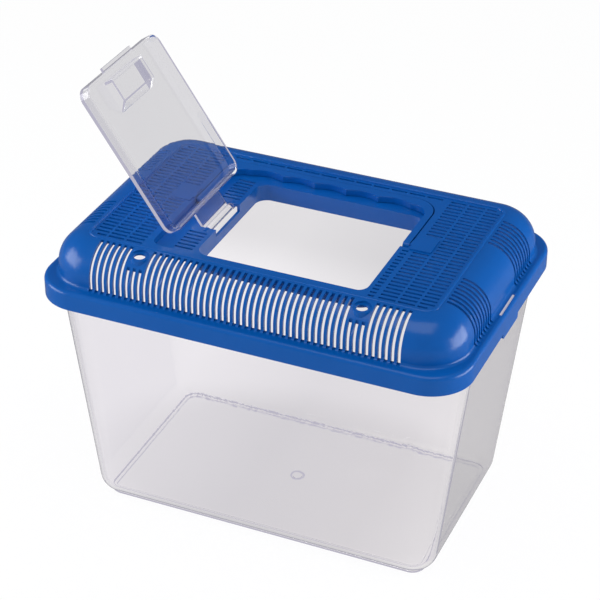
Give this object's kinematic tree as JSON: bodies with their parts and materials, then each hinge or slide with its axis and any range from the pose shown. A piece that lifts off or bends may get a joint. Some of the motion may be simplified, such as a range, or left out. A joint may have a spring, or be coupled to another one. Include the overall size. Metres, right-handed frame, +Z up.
{
  "type": "plastic pet keeper",
  "caption": "Clear tapered small-animal keeper with a slotted lift-off lid, a clear hinged feeding flap and a folding U-shaped carry handle",
  "frame": {"origin": "middle of the bounding box at the foot ring's underside, where the keeper stands on a table", "axes": "+X along the long side towards the flap's latch, +Y from the front (flap side) to the back where the handle's grip lies, +Z up"},
  "size_m": [0.3, 0.204, 0.3105],
  "materials": {
    "clear_plastic": "gloss",
    "blue_plastic": "satin"
  },
  "bodies": {
    "tub": {"tub": "clear_plastic"},
    "lid": {"lid_rim": "blue_plastic", "lid_corners": "blue_plastic", "front_vent": "blue_plastic", "back_vent": "blue_plastic", "left_vent": "blue_plastic", "right_vent": "blue_plastic", "left_grille": "blue_plastic", "right_grille": "blue_plastic", "lid_deck": "blue_plastic"},
    "flap": {"flap": "clear_plastic"},
    "handle": {"handle": "blue_plastic"}
  },
  "joints": [
    {"name": "lid_lift", "type": "slide", "parent": "tub", "child": "lid", "axis": [0, 0, 1], "range_m": [0, 0.06]},
    {"name": "flap_hinge", "type": "hinge", "parent": "lid", "child": "flap", "pos_m": [-0.056, -0.00575, 0.2053], "axis": [0, 1, 0], "range_deg": [0, 124.4]},
    {"name": "handle_pivot", "type": "hinge", "parent": "lid", "child": "handle", "pos_m": [0, 0.004, 0.2101], "axis": [1, 0, 0], "range_deg": [0, 7]}
  ]
}
